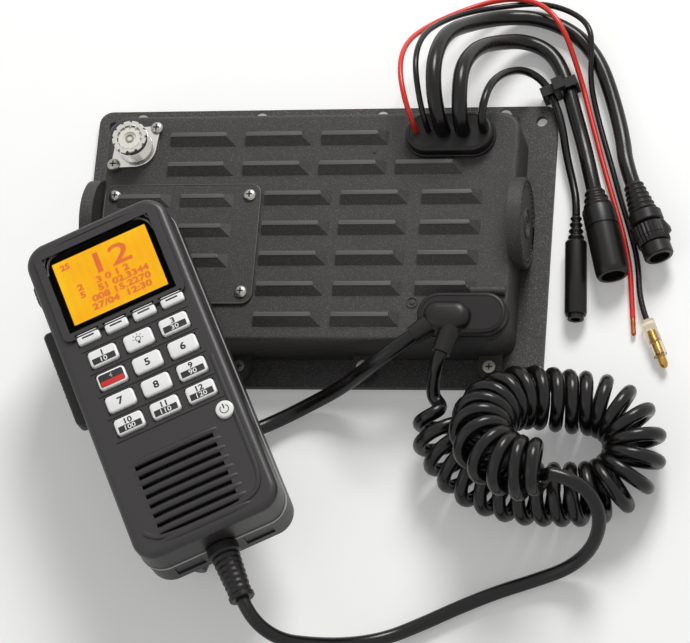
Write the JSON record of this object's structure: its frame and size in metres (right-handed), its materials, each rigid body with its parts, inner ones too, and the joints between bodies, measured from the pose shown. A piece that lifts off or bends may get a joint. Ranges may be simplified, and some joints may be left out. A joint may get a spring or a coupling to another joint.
{
  "type": "marine radio",
  "caption": "Fixed marine radio: a flat ribbed transceiver box with its cable harness, and a wired handset with display and keypad on a coiled cord.",
  "frame": {"origin": "centre of the mounting plate's underside", "axes": "+Z out of the ribbed face, X along the box's long side, Y across it towards the antenna socket"},
  "size_m": [0.2771, 0.3147, 0.0649],
  "materials": {
    "powder_coat": "satin black powder coat",
    "black_rubber": "matt black rubber",
    "textured_casting": "black crackle coat on a casting",
    "bright_metal": "bright steel",
    "dark_screws": "black plated steel",
    "circuit_board": "green solder mask",
    "nickel": "bright nickel plate",
    "insulator_white": "pale insulator",
    "brass_contact": "brass",
    "cable_jacket": "glossy black cable jacket",
    "red_wire": "glossy red cable jacket",
    "connector_plastic": "black moulded plastic",
    "clear_sleeve": "clear vinyl",
    "handset_plastic": "matt black moulded plastic",
    "pale_seal": "pale grey rubber",
    "window_glass": "clear window",
    "display_amber": "amber backlit display",
    "speaker_metal": "bare aluminium",
    "white_key": "white glossy keycap"
  },
  "bodies": {
    "root": {"mounting_plate": "powder_coat", "case_gasket": "black_rubber", "ribbed_case": "textured_casting", "bracket_inserts": "bright_metal", "case_screws": "dark_screws", "main_board": "circuit_board", "service_cover": "textured_casting", "cover_screws": "dark_screws", "antenna_socket": "nickel", "antenna_insulator": "insulator_white", "antenna_contact": "brass_contact", "antenna_screws": "bright_metal", "harness_gland": "black_rubber", "cord_boot": "black_rubber", "power_cable": "cable_jacket", "network_cable": "cable_jacket", "alarm_cable": "cable_jacket", "red_wire": "red_wire", "black_wire": "cable_jacket", "power_connector": "connector_plastic", "network_connector": "connector_plastic", "alarm_connector": "connector_plastic", "bullet_sleeve": "clear_sleeve", "wire_terminals": "brass_contact", "cable_tie": "black_rubber", "accessory_lead": "cable_jacket", "accessory_connector": "connector_plastic", "cord_leads": "cable_jacket", "curly_cord": "cable_jacket"},
    "handset": {"rear_shell": "handset_plastic", "shell_bead": "pale_seal", "front_shell": "handset_plastic", "display_window": "window_glass", "lcd_panel": "display_amber", "keypad_mat": "black_rubber", "keypad_board": "circuit_board", "loudspeaker": "speaker_metal", "microphone": "speaker_metal", "shell_screws": "dark_screws", "cord_plug": "cable_jacket"},
    "soft_key_1": {"soft_key_1": "white_key"},
    "soft_key_2": {"soft_key_2": "white_key"},
    "soft_key_3": {"soft_key_3": "white_key"},
    "soft_key_4": {"soft_key_4": "white_key"},
    "key_1": {"key_1": "white_key"},
    "key_2": {"key_2": "white_key"},
    "key_3": {"key_3": "white_key"},
    "key_4": {"key_4": "white_key"},
    "key_5": {"key_5": "white_key"},
    "key_6": {"key_6": "white_key"},
    "key_7": {"key_7": "white_key"},
    "key_8": {"key_8": "white_key"},
    "key_9": {"key_9": "white_key"},
    "key_10": {"key_10": "white_key"},
    "key_11": {"key_11": "white_key"},
    "key_12": {"key_12": "white_key"},
    "power_key": {"power_key": "white_key"},
    "ptt_button": {"ptt_button": "handset_plastic"},
    "side_key": {"side_key": "handset_plastic"},
    "coupling_ring": {"power_coupling_ring": "connector_plastic"}
  },
  "joints": [
    {"name": "handset_lift", "type": "slide", "parent": "root", "child": "handset", "axis": [0, 0, 1], "range_m": [0, 0.08]},
    {"name": "soft_key_1_press", "type": "slide", "parent": "handset", "child": "soft_key_1", "axis": [0, 0, -1], "range_m": [0, 0.0009], "stiffness_N_per_m": 300, "springref_m": -0.001},
    {"name": "soft_key_2_press", "type": "slide", "parent": "handset", "child": "soft_key_2", "axis": [0, 0, -1], "range_m": [0, 0.0009], "stiffness_N_per_m": 300, "springref_m": -0.001},
    {"name": "soft_key_3_press", "type": "slide", "parent": "handset", "child": "soft_key_3", "axis": [0, 0, -1], "range_m": [0, 0.0009], "stiffness_N_per_m": 300, "springref_m": -0.001},
    {"name": "soft_key_4_press", "type": "slide", "parent": "handset", "child": "soft_key_4", "axis": [0, 0, -1], "range_m": [0, 0.0009], "stiffness_N_per_m": 300, "springref_m": -0.001},
    {"name": "key_1_press", "type": "slide", "parent": "handset", "child": "key_1", "axis": [0, 0, -1], "range_m": [0, 0.0009], "stiffness_N_per_m": 300, "springref_m": -0.001},
    {"name": "key_2_press", "type": "slide", "parent": "handset", "child": "key_2", "axis": [0, 0, -1], "range_m": [0, 0.0009], "stiffness_N_per_m": 300, "springref_m": -0.001},
    {"name": "key_3_press", "type": "slide", "parent": "handset", "child": "key_3", "axis": [0, 0, -1], "range_m": [0, 0.0009], "stiffness_N_per_m": 300, "springref_m": -0.001},
    {"name": "key_4_press", "type": "slide", "parent": "handset", "child": "key_4", "axis": [0, 0, -1], "range_m": [0, 0.0009], "stiffness_N_per_m": 300, "springref_m": -0.001},
    {"name": "key_5_press", "type": "slide", "parent": "handset", "child": "key_5", "axis": [0, 0, -1], "range_m": [0, 0.0009], "stiffness_N_per_m": 300, "springref_m": -0.001},
    {"name": "key_6_press", "type": "slide", "parent": "handset", "child": "key_6", "axis": [0, 0, -1], "range_m": [0, 0.0009], "stiffness_N_per_m": 300, "springref_m": -0.001},
    {"name": "key_7_press", "type": "slide", "parent": "handset", "child": "key_7", "axis": [0, 0, -1], "range_m": [0, 0.0009], "stiffness_N_per_m": 300, "springref_m": -0.001},
    {"name": "key_8_press", "type": "slide", "parent": "handset", "child": "key_8", "axis": [0, 0, -1], "range_m": [0, 0.0009], "stiffness_N_per_m": 300, "springref_m": -0.001},
    {"name": "key_9_press", "type": "slide", "parent": "handset", "child": "key_9", "axis": [0, 0, -1], "range_m": [0, 0.0009], "stiffness_N_per_m": 300, "springref_m": -0.001},
    {"name": "key_10_press", "type": "slide", "parent": "handset", "child": "key_10", "axis": [0, 0, -1], "range_m": [0, 0.0009], "stiffness_N_per_m": 300, "springref_m": -0.001},
    {"name": "key_11_press", "type": "slide", "parent": "handset", "child": "key_11", "axis": [0, 0, -1], "range_m": [0, 0.0009], "stiffness_N_per_m": 300, "springref_m": -0.001},
    {"name": "key_12_press", "type": "slide", "parent": "handset", "child": "key_12", "axis": [0, 0, -1], "range_m": [0, 0.0009], "stiffness_N_per_m": 300, "springref_m": -0.001},
    {"name": "power_key_press", "type": "slide", "parent": "handset", "child": "power_key", "axis": [0, 0, -1], "range_m": [0, 0.0009], "stiffness_N_per_m": 300, "springref_m": -0.001},
    {"name": "ptt_press", "type": "slide", "parent": "handset", "child": "ptt_button", "axis": [0.8988, 0.4384, 0], "range_m": [0, 0.0015], "stiffness_N_per_m": 400, "springref_m": -0.001},
    {"name": "side_key_press", "type": "slide", "parent": "handset", "child": "side_key", "axis": [0.8988, 0.4384, 0], "range_m": [0, 0.0009], "stiffness_N_per_m": 400, "springref_m": -0.001},
    {"name": "coupling_ring_turn", "type": "hinge", "parent": "root", "child": "coupling_ring", "pos_m": [0.15186, 0.00174, 0.0089], "axis": [0.36, -0.933, 0], "range_deg": [0, 90]}
  ]
}
